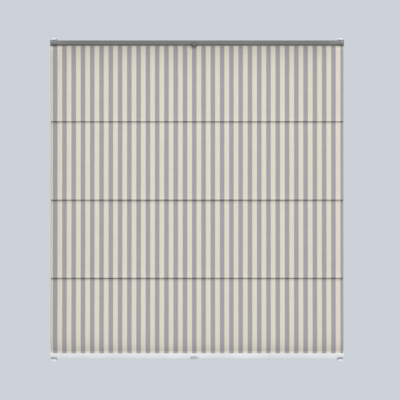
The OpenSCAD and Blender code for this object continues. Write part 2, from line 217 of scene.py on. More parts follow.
@dataclass(frozen=True)
class Finish:
    """A surface: what it is made of and how it was made.

    Attributes:
        name: The material's plain name.
        colour: The base colour as sRGB hex.
        roughness: The mean roughness.
        metallic: One for bare metal.
        ior: The index of refraction.
    """

    name: str
    colour: str
    roughness: float
    metallic: float = 0.0
    ior: float = 1.5

    def material(self) -> bpy.types.Material:
        """Gives the material, which is built at the first call."""
        return bpy.data.materials.get(self.name) or self.build()

    def build(self) -> bpy.types.Material:
        """Builds the material: one shader with the finish's own pattern.

        Returns:
            The new material.
        """
        material, tree = new_material(self.name)
        shader = add_node(tree, "ShaderNodeBsdfPrincipled", {
            "Base Color": linear(self.colour), "Roughness": self.roughness,
            "Metallic": self.metallic, "IOR": self.ior,
        })
        add_node(tree, "ShaderNodeOutputMaterial", {"Surface": shader.outputs["BSDF"]})
        self.draw(Surface(tree, shader, add_node(tree, "ShaderNodeTexCoord").outputs["Object"]))
        return material

    def draw(self, surface: Surface) -> None:
        """Draws the finish's pattern.

        Args:
            surface: The surface that takes it.
        """


@dataclass(frozen=True)
class PowderCoat(Finish):
    """Polyester powder baked on metal: an even satin skin with a faint orange peel.

    Attributes:
        peel_mm: Size of one dimple of the peel.
        peel_depth_mm: Depth of the peel.
        drift_mm: Length over which the tone drifts.
        shade: How much the tone drifts.
        gloss: How much the roughness drifts.
    """

    peel_mm: float = 1.8
    peel_depth_mm: float = 0.03
    drift_mm: float = 140
    shade: float = 0.05
    gloss: float = 0.06

    def draw(self, surface: Surface) -> None:
        """Draws the peel, and the slow drift of tone and gloss.

        Args:
            surface: The surface that takes them.
        """
        peel, drift = (
            add_node(surface.tree, "ShaderNodeTexNoise", {
                "Vector": surface.place, "Scale": per_metre(size), "Detail": detail,
            }).outputs["Fac"]
            for size, detail in ((self.peel_mm, 2.0), (self.drift_mm, 3.0))
        )
        base = surface.toned(linear(self.colour)[:3], {
            "Value": drift, "From Min": 0.3, "From Max": 0.7, "To Min": 1 - self.shade, "To Max": 1 + self.shade,
        })
        surface.cover(base, peel, self.peel_depth_mm, (self.roughness - self.gloss, self.roughness + self.gloss))


@dataclass(frozen=True)
class MouldedPlastic(Finish):
    """Injection-moulded plastic from a spark-eroded mould: a fine even grain and a soft shine.

    Attributes:
        grain_mm: Size of one grain, drawn several times coarser than the real one so that it shows.
        grain_depth_mm: Depth of the grain.
        flow_mm: Size of the faint clouds that the melt's flow leaves.
    """

    grain_mm: float = 0.7
    grain_depth_mm: float = 0.02
    flow_mm: float = 25

    def draw(self, surface: Surface) -> None:
        """Draws the grain and the clouds.

        Args:
            surface: The surface that takes them.
        """
        grain, flow = (
            add_node(surface.tree, "ShaderNodeTexNoise", {
                "Vector": surface.place, "Scale": per_metre(size), "Detail": detail, "Distortion": distortion,
            }).outputs["Fac"]
            for size, detail, distortion in ((self.grain_mm, 1.0, 0.0), (self.flow_mm, 2.0, 1.5))
        )
        base = surface.toned(linear(self.colour)[:3], {"Value": flow, "To Min": 0.95, "To Max": 1.05})
        surface.cover(base, grain, self.grain_depth_mm)


@dataclass(frozen=True)
class WorkedMetal(Finish):
    """Bare or plated metal with the marks of drawing or turning, which stretch its highlights.

    Attributes:
        marks_mm: Sizes of one mark along X, Y and Z.
        depth_mm: Depth of the marks.
        film_mm: Size of a patch of the thin film on the metal.
        tarnish: How far the film shows.
        second_colour: The film's colour.
        gloss: How much the marks change the roughness.
    """

    marks_mm: tuple[float, float, float] = (0.3, 0.3, 0.3)
    depth_mm: float = 0.01
    film_mm: float = 6
    tarnish: float = 0.4
    second_colour: str = "#c8ccd4"
    gloss: float = 0.1

    def draw(self, surface: Surface) -> None:
        """Draws the tool marks and the film.

        Args:
            surface: The surface that takes them.
        """
        tree = surface.tree
        marks = surface.streaks(self.marks_mm, 2.0)
        film = add_node(tree, "ShaderNodeTexNoise", {
            "Vector": surface.place, "Scale": per_metre(self.film_mm), "Detail": 3.0,
        })
        share = add_node(tree, "ShaderNodeMapRange", {
            "Value": film.outputs["Fac"], "From Min": 0.35, "From Max": 0.65, "To Max": self.tarnish,
        })
        base = add_node(tree, "ShaderNodeMix", {
            "Factor": share.outputs["Result"], 6: linear(self.colour), 7: linear(self.second_colour),
        }, data_type="RGBA")
        surface.cover(base.outputs[2], marks, self.depth_mm,
                      (self.roughness - self.gloss, self.roughness + self.gloss))


@dataclass(frozen=True)
class BraidedCord(Finish):
    """Polyester braid over a core: strands that cross in a fine diamond, matt with a little sheen.

    Attributes:
        strand_mm: Distance of the strands over two pi, several times the real one so that they show.
        depth_mm: Depth of the gaps between the strands.
        gap_shade_colour: Painted shade in those gaps, a darker colour than the braid's.
    """

    strand_mm: float = 0.8
    depth_mm: float = 0.12
    gap_shade_colour: str = "#a9a9a2"

    def draw(self, surface: Surface) -> None:
        """Draws two sets of strands that cross, with painted shade in the gaps between them.

        Args:
            surface: The surface that takes them.
        """
        tree, waves = surface.tree, []
        for lean in (1, -1):
            turned = add_node(tree, "ShaderNodeMapping", {
                "Vector": surface.place, "Rotation": (0, lean * math.pi / 4, 0),
            })
            # At a scale of one the wave turns by twenty radians a metre
            waves.append(add_node(tree, "ShaderNodeTexWave", {
                "Vector": turned.outputs["Vector"], "Scale": per_metre(self.strand_mm) / 20,
            }, wave_profile="SIN").outputs["Fac"])
        height = add_node(tree, "ShaderNodeMath", {0: waves[0], 1: waves[1]}, operation="MAXIMUM").outputs[0]
        # The gaps between the strands take painted shade, darker than the braid
        base = add_node(tree, "ShaderNodeMix", {"Factor": height, 6: linear(self.gap_shade_colour), 7: linear(self.colour)},
                        data_type="RGBA")
        surface.cover(base.outputs[2], height, self.depth_mm)
        surface.shader.inputs["Sheen Weight"].default_value = 0.2


@dataclass(frozen=True)
class Cellular(Finish):
    """Foam or soft rubber: open or skinned cells that scatter light, so it looks dull.

    Attributes:
        cell_mm: Size of one cell.
        depth_mm: Depth of the cells.
    """

    cell_mm: float = 0.8
    depth_mm: float = 0.15

    def draw(self, surface: Surface) -> None:
        """Draws the cells, with painted shade that makes their bottoms darker than their rims.

        Args:
            surface: The surface that takes them.
        """
        cells = add_node(surface.tree, "ShaderNodeTexVoronoi", {
            "Vector": surface.place, "Scale": per_metre(self.cell_mm),
        }).outputs["Distance"]
        # Painted shade: each cell's bottom is toned darker than its rim
        base = surface.toned(linear(self.colour)[:3], {
            "Value": cells, "From Max": 0.6, "To Min": 0.72, "To Max": 1.12,
        })
        surface.cover(base, cells, self.depth_mm)


@dataclass(frozen=True)
class FibreRod(Finish):
    """Pultruded glass fibre in clear resin: long pale fibres just under a smooth skin.

    Attributes:
        fibre_mm: Sizes of one bundle of fibres along X, Y and Z.
        depth_mm: How deep the skin sinks between the fibres.
    """

    fibre_mm: tuple[float, float, float] = (45, 0.5, 0.5)
    depth_mm: float = 0.03

    def draw(self, surface: Surface) -> None:
        """Draws the fibres.

        Args:
            surface: The surface that takes them.
        """
        fibres = surface.streaks(self.fibre_mm, 4.0)
        base = surface.toned(linear(self.colour)[:3], {
            "Value": fibres, "From Min": 0.3, "From Max": 0.7, "To Min": 0.88, "To Max": 1.06,
        })
        surface.cover(base, fibres, self.depth_mm)
        surface.shader.inputs["Coat Weight"].default_value = 0.3


@dataclass(frozen=True)
class WovenStripes(Finish):
    """Yarn-dyed cotton and polyester in a plain weave, striped along the warp; matt, with a dry hand.

    Attributes:
        second_colour: The colour between the stripes.
        pitch_mm: Distance from stripe to stripe.
        stripe_mm: Width of a stripe.
        first_mm: Place of one stripe's left edge along X.
        wander_mm: How far a stripe's edge wanders, and the length in which it does so.
        thread_mm: Distance of the threads, drawn twice as coarse as the real one so that it shows.
        slub_mm: Width and length of the thicker stretches of yarn.
        slub_share: Height of those stretches as a share of a thread's.
        depth_mm: Depth of the weave.
    """

    second_colour: str = "#a4a3a8"
    pitch_mm: float = 37.28
    stripe_mm: float = 19.2
    first_mm: float = -2.1
    wander_mm: tuple[float, float] = (0.5, 5.0)
    thread_mm: float = 1.1
    slub_mm: tuple[float, float] = (2.4, 70.0)
    slub_share: float = 0.8
    depth_mm: float = 0.08

    def draw(self, surface: Surface) -> None:
        """Draws the stripes, the slubs of warp and weft and the threads of the weave.

        Args:
            surface: The surface that takes them.
        """
        tree, shader = surface.tree, surface.shader
        axes = add_node(tree, "ShaderNodeSeparateXYZ", {"Vector": surface.place})
        width, length = self.slub_mm
        # Front and back are alike, so a slub goes right through; the weft's yarn is a little finer
        through = 400
        warp, weft = (surface.streaks(sizes, 3.0) for sizes in (
            (width, through, length), (length, through, width * 0.7)))
        slubs = add_node(tree, "ShaderNodeMath", {0: warp, 1: weft}, operation="ADD").outputs[0]
        dyed = add_node(tree, "ShaderNodeMix", {
            "Factor": self.stripes(surface, axes.outputs["X"]), 6: linear(self.second_colour), 7: linear(self.colour),
        }, data_type="RGBA").outputs[2]
        base = surface.toned(dyed, {
            "Value": slubs, "From Min": 0.75, "From Max": 1.25, "To Min": 0.955, "To Max": 1.045,
        })
        relief = add_node(tree, "ShaderNodeMath", {
            0: slubs, 1: self.slub_share, 2: self.threads(tree, axes.outputs["X"], axes.outputs["Z"]),
        }, operation="MULTIPLY_ADD")
        surface.cover(base, relief.outputs[0], self.depth_mm)
        shader.inputs["Specular IOR Level"].default_value = 0.25
        shader.inputs["Sheen Weight"].default_value = 0.08
        shader.inputs["Sheen Roughness"].default_value = 0.5

    def stripes(self, surface: Surface, across: Socket) -> Socket:
        """Gives one inside a stripe and zero beside it, with an edge that wanders by a thread.

        Args:
            surface: The surface that takes the stripes.
            across: The distance along X, in metres.

        Returns:
            The mask.
        """
        tree = surface.tree
        wander = add_node(tree, "ShaderNodeTexNoise", {
            "Vector": surface.place, "Scale": per_metre(self.wander_mm[1]),
        })
        edge = add_node(tree, "ShaderNodeMath", {
            0: wander.outputs["Fac"], 1: self.wander_mm[0] * MM, 2: across,
        }, operation="MULTIPLY_ADD").outputs[0]
        turns = add_node(tree, "ShaderNodeMath", {
            0: edge, 1: per_metre(self.pitch_mm), 2: -self.first_mm / self.pitch_mm,
        }, operation="MULTIPLY_ADD").outputs[0]
        phase = add_node(tree, "ShaderNodeMath", {0: turns}, operation="FRACT").outputs[0]
        return add_node(tree, "ShaderNodeMath", {0: phase, 1: self.stripe_mm / self.pitch_mm},
                        operation="LESS_THAN").outputs[0]

    def threads(self, tree: Tree, across: Socket, along: Socket) -> Socket:
        """Gives the height of a plain weave, where warp and weft lie over each other in turn.

        Args:
            tree: The material's tree.
            across: The distance along X, in metres.
            along: The distance along Z, in metres.

        Returns:
            The height.
        """
        waves = []
        for way in (across, along):
            turned = add_node(tree, "ShaderNodeMath", {0: way, 1: math.pi * per_metre(self.thread_mm)},
                              operation="MULTIPLY").outputs[0]
            waves.append(add_node(tree, "ShaderNodeMath", {0: turned}, operation="SINE").outputs[0])
        return add_node(tree, "ShaderNodeMath", {0: waves[0], 1: waves[1]}, operation="MULTIPLY").outputs[0]


GREY_RAIL = PowderCoat("grey_powder_coat", "#868583", 0.45)
WHITE_RAIL = PowderCoat("white_powder_coat", "#e2e3e7", 0.42)
# On small stampings the powder's peel is finer
WHITE_BRACKET = PowderCoat("white_bracket_coat", "#e8e9ea", 0.45, peel_mm=1.2)
GREY_PLASTIC = MouldedPlastic("grey_moulded_acetal", "#797877", 0.48, ior=1.48)
WHITE_PLASTIC = MouldedPlastic("white_moulded_acetal", "#dfe1e4", 0.38, ior=1.48)
# The bottom grip is white acetal; its greyer colour is painted shade for the shade in its finger scoop, darker than
# the coat beside it
GRIP_PAINTED_SHADE_PLASTIC = MouldedPlastic("grip_acetal_painted_shade", "#bcc0c6", 0.35, ior=1.48)
# Glass-filled nylon carries the cords' pull, and its white pigment is brighter than the acetal's
NYLON = MouldedPlastic("white_glass_filled_nylon", "#eceef2", 0.5, grain_mm=0.9, ior=1.53)
# An extruded strip is duller than a moulded part, and a little yellower
STRIP = MouldedPlastic("white_extruded_strip", "#e4e3dd", 0.5, grain_mm=1.2, ior=1.53)
# Zinc keeps a bluish film from its passivation
ZINC = WorkedMetal("zinc_plated_steel", "#c3c6ca", 0.38, metallic=1.0, marks_mm=(0.4, 0.4, 3.0),
                   second_colour="#aeb6c6")
# Turning leaves fine rings round the collar, and handling dulls it
BRASS = WorkedMetal("turned_brass", "#c9a86a", 0.32, metallic=1.0, marks_mm=(6.0, 6.0, 0.3),
                    second_colour="#a8854c")
# The braid is off-white, with a fine diamond that breaks up its light
CORD = BraidedCord("braided_polyester", "#dedfda", 0.75)
THREAD = BraidedCord("sewing_thread", "#cfcabc", 0.7, strand_mm=0.25)
# Rubber and foam swallow most of the light
RUBBER = Cellular("black_rubber", "#2c2c2e", 0.8, cell_mm=0.5, depth_mm=0.03)
FOAM = Cellular("grey_cell_foam", "#8f9092", 0.9)
# The resin's skin shines over the fibres' long streaks
ROD = FibreRod("glass_fibre_rod", "#e6e2d4", 0.3, ior=1.54)
# Cream and violet grey yarn, matt, with slubs that show as faint streaks
CLOTH = WovenStripes("striped_plain_weave", "#e1dac8", 0.88)


def in_mm(node: str) -> tuple[np.ndarray, np.ndarray]:
    """Gives a node's lowest and highest corners in millimetres."""
    low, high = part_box(node)
    return np.array(low) / MM, np.array(high) / MM


def new_piece(name: str, points: np.ndarray, faces: Sequence[Sequence[int]], finish: Finish,
              sharp_deg: float = 40) -> Piece:
    """Makes one mesh object with outward faces.

    Args:
        name: The piece's name.
        points: Its points, in millimetres.
        faces: Its faces, as numbers of points.
        finish: What it is made of.
        sharp_deg: The angle above which an edge stays sharp.

    Returns:
        The new object.
    """
    mesh = bpy.data.meshes.new(name)
    mesh.from_pydata((np.asarray(points) * MM).tolist(), [], [list(map(int, face)) for face in faces])
    work = bmesh.new()
    work.from_mesh(mesh)
    bmesh.ops.recalc_face_normals(work, faces=work.faces)
    work.to_mesh(mesh)
    work.free()
    mesh.shade_smooth()
    mesh.set_sharp_from_angle(angle=math.radians(sharp_deg))
    mesh.materials.append(finish.material())
    return new_object(name, mesh)


def skin_over(loops: np.ndarray) -> tuple[np.ndarray, np.ndarray]:
    """Closes a row of loops of points into one skin with two ends.

    Args:
        loops: Points by loop, by place in the loop and by axis. A loop's two halves face each other.

    Returns:
        The points and the four-sided faces.
    """
    rows, count = loops.shape[:2]
    ids = np.arange(rows * count).reshape(rows, count)
    here, there = ids[:-1], ids[1:]
    sides = np.stack([here, there, np.roll(there, -1, 1), np.roll(here, -1, 1)], -1).reshape(-1, 4)
    near = np.arange(count // 2 - 1)
    lid = np.stack([near, near + 1, count - 2 - near, count - 1 - near], -1)
    return loops.reshape(-1, 3), np.concatenate([sides, lid, lid + (rows - 1) * count])


def front_normals(path: np.ndarray) -> np.ndarray:
    """Gives the direction to the front at each point of a side view that runs downward.

    Args:
        path: Points as depth, which grows to the front, and height.

    Returns:
        One unit vector for each point.
    """
    way = np.gradient(path, axis=0)
    normals = np.stack([-way[:, 1], way[:, 0]], -1)
    return normals / np.linalg.norm(normals, axis=1, keepdims=True)


@dataclass
class Stitching:
    """Rows of lockstitches: short arched threads that dip into the cloth at both ends.

    Attributes:
        step_mm: Distance from stitch to stitch.
        share: How much of the step shows as thread.
        thread_mm: Thickness of the thread.
        sides: Corners of the thread's section.
        profile: Place along a stitch, height and girth at each ring, as shares of its length and thickness.
        stitches: The rings of points of each stitch that was added.
    """

    step_mm: float = 4.2
    share: float = 0.78
    thread_mm: float = 0.45
    sides: int = 6
    profile: tuple[tuple[float, float, float], ...] = (
        (0.0, -0.6, 0.6), (0.12, 0.1, 1.0), (0.5, 0.35, 1.0), (0.88, 0.1, 1.0), (1.0, -0.6, 0.6))
    stitches: list[np.ndarray] = field(default_factory=list)

    def run(self, start: Sequence[float], end: Sequence[float],
            surface: Callable[[np.ndarray], np.ndarray], outward: np.ndarray) -> None:
        """Adds a straight row of stitches.

        Args:
            start: Where the row begins, in millimetres.
            end: Where it ends.
            surface: Puts points on the cloth's surface.
            outward: The direction away from the cloth.
        """
        whole = float(np.linalg.norm(np.subtract(end, start)))
        way = np.subtract(end, start) / whole
        side_way = np.cross(way, outward)
        place, rise, girth = np.array(self.profile).T
        turn = 2 * math.pi * np.arange(self.sides) / self.sides
        ring = np.cos(turn)[:, None] * side_way + np.sin(turn)[:, None] * outward
        rings = girth[:, None, None] * self.thread_mm / 2 * ring
        for i in range(int(whole / self.step_mm)):
            spine = surface(start + np.outer((i + place * self.share) * self.step_mm, way))
            self.stitches.append((spine + np.outer(rise * self.thread_mm, outward))[:, None, :] + rings)

    def piece(self, name: str) -> Piece:
        """Makes one object of all the rows that were added.

        Args:
            name: The piece's name.

        Returns:
            The new object.
        """
        skins = [skin_over(stitch) for stitch in self.stitches]
        count = len(self.profile) * self.sides
        faces = np.concatenate([faces + i * count for i, (_, faces) in enumerate(skins)])
        return new_piece(name, np.concatenate([points for points, _ in skins]), faces, THREAD, sharp_deg=180)


@dataclass(frozen=True)
class Ripple:
    """One wave of a hung or sewn cloth, in millimetres.

    Attributes:
        height: How far it goes to the front and back.
        length: Its length along X, divided by two pi.
        turn: How much its phase changes from panel to panel.
        start: Its phase in the first panel.
        drop: Its length along Z, divided by two pi.
    """

    height: float
    length: float
    turn: float = 0.0
    start: float = 0.0
    drop: float = math.inf

    def at(self, x: np.ndarray, panel: np.ndarray | int = 0, z: np.ndarray | float = 0.0) -> np.ndarray:
        """Gives the wave's height at places along X and Z."""
        return self.height * np.sin(x / self.length + z / self.drop + self.turn * panel + self.start)


@dataclass
class Cloth:
    """The sheet with its three tucks, the sleeves behind them, its hems and its stitches.

    Attributes:
        weave: The finish, which also places the stripes.
        thickness: Thickness of the cloth, in millimetres as all sizes here.
        stem: Thickness of the strips' stems, whose front the cloth lies on.
        bow: How far a panel bows to the front.
        bow_turn: How square the bow is, as a power.
        spring: How far the cloth springs to the front where it leaves the top rail.
        spring_h: Height in which it does most of that.
        tail_lean: How far the last panel would lean out if the bottom rail didn't draw it back.
        tail_turn: How sharply it turns back, as a power of its height.
        overhangs: How far each panel's lower edge stands out over the next panel.
        flare: The part of an overhang in which the panel flares out above its fold.
        flare_turn: How sharply it flares, as a power of its height.
        lips: Height of each of those edges above its seam.
        lip_r: Radius of the fold in such an edge.
        shoulder_h: Distance below the seam where the next panel begins.
        seam_in: How far the seam lies behind the cloth's plane.
        seam_r: Radius of the turn inside the seam.
        seam_gap: Space between the two sheets in the seam where they meet.
        hem_w: Width of the side hems.
        hem_seam: Distance of the hems' stitches from their inner edges.
        hem_pressed: The share of a hem's thickness that stays where it goes into a seam.
        stripe_raise: How much thicker the stripes' weave is.
        edge_gap: Width of the step at a stripe's edge.
        rows: Rows of points in a panel.
        turn_rows: Rows in a fold's quarter turn.
        seam_rows: Rows in a seam's quarter turn.
        strip_rows: Rows along a strip.
        column: Largest distance of two columns of points.
        flutes: The slow waves inside a panel.
        slack: The waves of a panel's free edge.
        pucker: The short waves beside a seam.
        pucker_drift: How far those drift along X.
        pucker_fade: How fast they fade with the share of the panel's height.
        seam_clear: That share beside a seam which stays smooth, where two sheets meet.
        flute_turn: How square the flutes' height is between the seams, as a power.
        sleeve_wall: Thickness of a sleeve.
        sleeve_gap: Space between a rod and its sleeve.
        sleeve_open_deg: Half the angle at which a sleeve is open to its neck.
        sleeve_rows: Rows of points round a sleeve.
        sleeve_ripples: The short and the long wave along a sleeve.
        sleeve_drift: How far the short one drifts along X.
        neck_h: Half the height of a sleeve's neck, as a share of the wall.
        end_gap: Space between a sleeve's end and the guide beside it.
    """

    weave: WovenStripes = CLOTH
    thickness: float = 0.6
    stem: float = 1.4
    bow: float = 0.8
    bow_turn: int = 4
    spring: float = 3.0
    spring_h: float = 0.9
    tail_lean: float = 9.2
    tail_turn: int = 12
    overhangs: tuple[float, float, float] = (6.2, 7.4, 7.4)
    flare: float = 1.6
    flare_turn: int = 16
    lips: tuple[float, float, float] = (0.6, 0.6, 1.7)
    lip_r: float = 1.2
    shoulder_h: float = 3.0
    seam_in: float = 0.5
    seam_r: float = 0.5
    seam_gap: float = 0.06
    hem_w: float = 20.0
    hem_seam: float = 3.0
    hem_pressed: float = 0.35
    stripe_raise: float = 0.12
    edge_gap: float = 0.3
    rows: int = 30
    turn_rows: int = 6
    seam_rows: int = 4
    strip_rows: int = 3
    column: float = 7.0
    flutes: tuple[Ripple, ...] = (Ripple(0.45, 71, 0.9), Ripple(0.3, 37, 2.1, 1), Ripple(0.18, 19, drop=90))
    slack: tuple[Ripple, ...] = (Ripple(0.5, 160, 1.7), Ripple(0.25, 53, 1))
    pucker: Ripple = Ripple(0.12, 3.3, 1)
    pucker_drift: Ripple = Ripple(4.29, 23)
    pucker_fade: float = 40
    seam_clear: float = 0.01
    flute_turn: float = 0.7
    sleeve_wall: float = 0.6
    sleeve_gap: float = 0.24
    sleeve_open_deg: float = 24
    sleeve_rows: int = 40
    sleeve_ripples: tuple[Ripple, Ripple] = (Ripple(0.07, 3.1), Ripple(0.05, 11.3, 1))
    sleeve_drift: Ripple = Ripple(6.2, 29, 1)
    neck_h: float = 0.6
    end_gap: float = 0.12

    def __post_init__(self) -> None:
        """Reads the places that the frame gives."""
        low, high = in_mm("cloth")
        strip_low, strip_high = in_mm("top_strip")
        self.half = high[0]
        self.top, self.bottom = high[2], low[2]
        self.plane = -(strip_low[1] + strip_high[1]) / 2 + self.stem / 2 + self.thickness / 2
        self.band = strip_low[2]
        self.low_band = in_mm("bottom_strip")[1][2]
        self.rods = [in_mm(f"batten_{k}") for k in (1, 2, 3)]
        self.folds = [(low[2] + high[2]) / 2 for low, high in self.rods]
        self.sleeve_half = in_mm("batten_1_guide_right")[0][0] - self.end_gap

    def panel(self, upper: float, lower: float, lean: float, spring: float = 0.0, held: bool = False) -> np.ndarray:
        """Gives a panel's side view, which leans and bows to the front.

        Args:
            upper: Height of its upper edge.
            lower: Height of its lower edge.
            lean: How far the panel leans out towards its lower edge.
            spring: How much of that it does right below its upper edge.
            held: Whether the bottom rail draws its lower edge back, where the others flare out.

        Returns:
            Its points, from the upper edge to the lower one.
        """
        s = (1 - np.cos(np.pi * np.arange(self.rows + 1) / self.rows)) / 2
        height = upper + (lower - upper) * s
        flare = 0 if held else self.flare
        out = (lean - spring - flare) * s + flare * s**self.flare_turn
        out += self.bow * (1 - (1 - 2 * s) ** self.bow_turn)
        out += spring * (1 - np.exp((height - upper) / self.spring_h))
        if held:
            out *= 1 - s**self.tail_turn
        return np.stack([self.plane + out, height], -1)

    def roll(self, fold: float, lip_z: float, overhang: float) -> np.ndarray:
        """Gives the turn from a panel's lower edge into the seam.

        Args:
            fold: Height of the seam.
            lip_z: Height at which the panel's edge begins to turn.
            overhang: How far the edge stands out.

        Returns:
            Its points, with the last one at the back of the seam.
        """
        seam = self.plane - self.seam_in
        a = np.radians(np.linspace(0, -90, self.turn_rows + 1)[1:])
        lip = (np.array([self.plane + overhang - self.lip_r, lip_z])
               + self.lip_r * np.stack([np.cos(a), np.sin(a)], -1))
        share = np.arange(1, self.turn_rows)[:, None] / self.turn_rows
        under = lip[-1] + (np.array([seam, fold + self.seam_r]) - lip[-1]) * share
        b = np.radians(np.linspace(0, 90, self.seam_rows + 1))
        turn = np.stack([seam - self.seam_r * np.sin(b), fold + self.seam_r * np.cos(b)], -1)
        return np.concatenate([lip, under, turn])

    def shoulder(self, fold: float) -> np.ndarray:
        """Gives the turn out of the seam into the next panel.

        Args:
            fold: Height of the seam.

        Returns:
            Its points, with the first one at the back of the seam.
        """
        seam = self.plane - self.seam_in
        b = np.radians(np.linspace(90, 0, self.seam_rows + 1))
        turn = np.stack([seam - self.seam_r * np.sin(b), fold - self.seam_r * np.cos(b)], -1)
        a = np.radians(np.linspace(0, 90, self.turn_rows + 1)[1:-1])
        out = np.stack([seam + self.seam_in * np.sin(a),
                        fold - self.shoulder_h + (self.shoulder_h - self.seam_r) * np.cos(a)], -1)
        return np.concatenate([turn, out])

    def upper_path(self) -> np.ndarray:
        """Gives the side view from the top rail's strip to the back of the last seam.

        Returns:
            Its points, as depth and height.
        """
        parts = [np.array([[self.plane, z] for z in np.linspace(self.top, self.band, self.strip_rows + 1)[:-1]])]
        edge, spring = self.band, self.spring
        for fold, lip, overhang in zip(self.folds, self.lips, self.overhangs):
            lip_z = fold + lip + self.lip_r
            parts += [self.panel(edge, lip_z, overhang, spring), self.roll(fold, lip_z, overhang)]
            if fold != self.folds[-1]:
                parts.append(self.shoulder(fold)[1:])
            edge, spring = fold - self.shoulder_h, 0
        return np.concatenate(parts)

    def lower_path(self) -> np.ndarray:
        """Gives the side view from the back of the last seam to the bottom rail's strip.

        Returns:
            Its points, as depth and height.
        """
        fold = self.folds[-1]
        tail = np.array([[self.plane, z] for z in np.linspace(self.low_band, self.bottom, self.strip_rows + 1)[1:]])
        panel = self.panel(fold - self.shoulder_h, self.low_band, self.tail_lean, held=True)
        shoulder = self.shoulder(fold)
        shoulder[0, 1] -= self.seam_gap
        return np.concatenate([shoulder, panel, tail])

    def columns(self) -> np.ndarray:
        """Gives the columns' places along X: a pair at each edge of a stripe, and others between them.

        Returns:
            The places, from left to right.
        """
        weave = self.weave
        first = math.ceil((-self.half - weave.first_mm) / weave.pitch_mm) - 1
        last = math.floor((self.half - weave.first_mm) / weave.pitch_mm)
        edges = [weave.first_mm + n * weave.pitch_mm + w for n in range(first, last + 1) for w in (0, weave.stripe_mm)]
        edges += [side * (self.half - self.hem_w) for side in (-1, 1)]
        inner = self.half - self.thickness
        fixed = sorted([-inner, inner] + [e + s * self.edge_gap / 2 for e in edges for s in (-1, 1)
                                          if abs(e) < inner - self.edge_gap])
        places = [fixed[0]]
        for place in fixed[1:]:
            parts = max(1, math.ceil((place - places[-1]) / self.column))
            places += list(np.linspace(places[-1], place, parts + 1)[1:])
        return np.array(places)

    def in_stripe(self, x: np.ndarray) -> np.ndarray:
        """Says which places along X lie in a stripe of the first colour."""
        share = self.weave.stripe_mm / self.weave.pitch_mm
        return (x - self.weave.first_mm) / self.weave.pitch_mm % 1 < share

    def wave(self, x: np.ndarray, z: np.ndarray, lean: np.ndarray) -> np.ndarray:
        """Gives the slow waves of a hung cloth and the puckers beside its seams.

        Args:
            x: Places along X.
            z: Heights.
            lean: How far the cloth already stands out there.

        Returns:
            How much further the cloth stands out at each place.
        """
        edges = np.array([self.band, *self.folds, self.low_band])
        k = np.clip(np.searchsorted(-edges, -z) - 1, 0, len(edges) - 2)
        s = np.clip((edges[k] - z) / (edges[k] - edges[k + 1]), 0, 1)
        near = np.minimum(s, 1 - s)
        flutes = sum(ripple.at(x, k, z) for ripple in self.flutes) * np.sin(np.pi * s) ** self.flute_turn
        slack = sum(ripple.at(x, k) for ripple in self.slack) * np.clip(lean / max(self.overhangs), 0, 1) ** 2
        puckers = self.pucker.at(x + self.pucker_drift.at(x), k) * np.exp(-near * self.pucker_fade)
        return flutes + puckers * (near > self.seam_clear) + slack

    def sheet(self, name: str, path: np.ndarray) -> Piece:
        """Makes a closed sheet along a side view, with its stripes in relief and its hems folded behind.

        Args:
            name: The piece's name.
            path: The side view, running downward.

        Returns:
            The new object.
        """
        x = self.columns()
        half_t = self.thickness / 2
        front = half_t + self.stripe_raise * self.in_stripe(x)
        hem = np.abs(x) > self.half - self.hem_w
        back = np.where(hem, -half_t - self.thickness, -half_t)
        middle, reach = (front[0] + back[0]) / 2, (front[0] - back[0]) / 2
        # Two points to a quarter turn round the side edges
        rim = np.radians([67.5, 22.5])
        edge_x, edge_off = self.half - self.thickness + self.thickness * np.cos(rim), reach * np.sin(rim)
        places = np.concatenate([-edge_x[::-1], x, edge_x, edge_x[::-1], x[::-1], -edge_x])
        offsets = np.concatenate([middle + edge_off[::-1], front, middle + edge_off,
                                  middle - edge_off[::-1], back[::-1], middle - edge_off])
        normals = front_normals(path)
        # The hem is pressed flat where it goes into a seam
        pressed = np.clip((path[:, 0] - self.plane + self.seam_in) / self.seam_in, self.hem_pressed, 1)
        offsets = np.where(offsets < -half_t, -half_t + (offsets + half_t) * pressed[:, None], offsets)
        lean = path[:, :1] - self.plane
        depth = path[:, :1] + normals[:, :1] * offsets + self.wave(places[None, :], path[:, 1:], lean)
        height = path[:, 1:] + normals[:, 1:] * offsets
        loops = np.stack([np.broadcast_to(places, depth.shape), -depth, height], -1)
        return new_piece(name, *skin_over(loops), self.weave, sharp_deg=70)

    def depth_at(self, x: np.ndarray, z: np.ndarray, path: np.ndarray) -> np.ndarray:
        """Gives the depth of the cloth's middle at places away from the tucks.

        Args:
            x: Places along X.
            z: Heights.
            path: The sheet's side view.

        Returns:
            The depth at each place.
        """
        rows = np.concatenate([[True], np.diff(path[:, 1]) < -1e-6])
        order = np.argsort(path[rows, 1])
        depth = np.interp(z, path[rows, 1][order], path[rows, 0][order])
        return depth + self.wave(x, z, depth - self.plane)

    def stitches(self, name: str, path: np.ndarray, band: float) -> Piece:
        """Makes the stitches of the side hems and of one row across, in front and behind.

        Args:
            name: The piece's name.
            path: The sheet's side view.
            band: Height of the row that runs across.

        Returns:
            The new object.
        """
        stitching = Stitching()
        hem_x = self.half - self.hem_w + self.hem_seam
        # Behind, the hem adds a second layer
        for outward, lift in ((np.array([0, -1.0, 0]), self.thickness / 2),
                              (np.array([0, 1.0, 0]), self.thickness * 1.5)):
            def on_cloth(points: np.ndarray, outward: np.ndarray = outward, lift: float = lift) -> np.ndarray:
                """Moves points in front of or behind the cloth onto its surface."""
                depth = self.depth_at(points[:, 0], points[:, 2], path)
                return np.stack([points[:, 0], -depth + outward[1] * lift, points[:, 2]], -1)

            for upper, lower in self.spans(path):
                for side in (-1, 1):
                    stitching.run((side * hem_x, 0, upper), (side * hem_x, 0, lower), on_cloth, outward)
            stitching.run((-hem_x, 0, band), (hem_x, 0, band), on_cloth, outward)
        return stitching.piece(name)

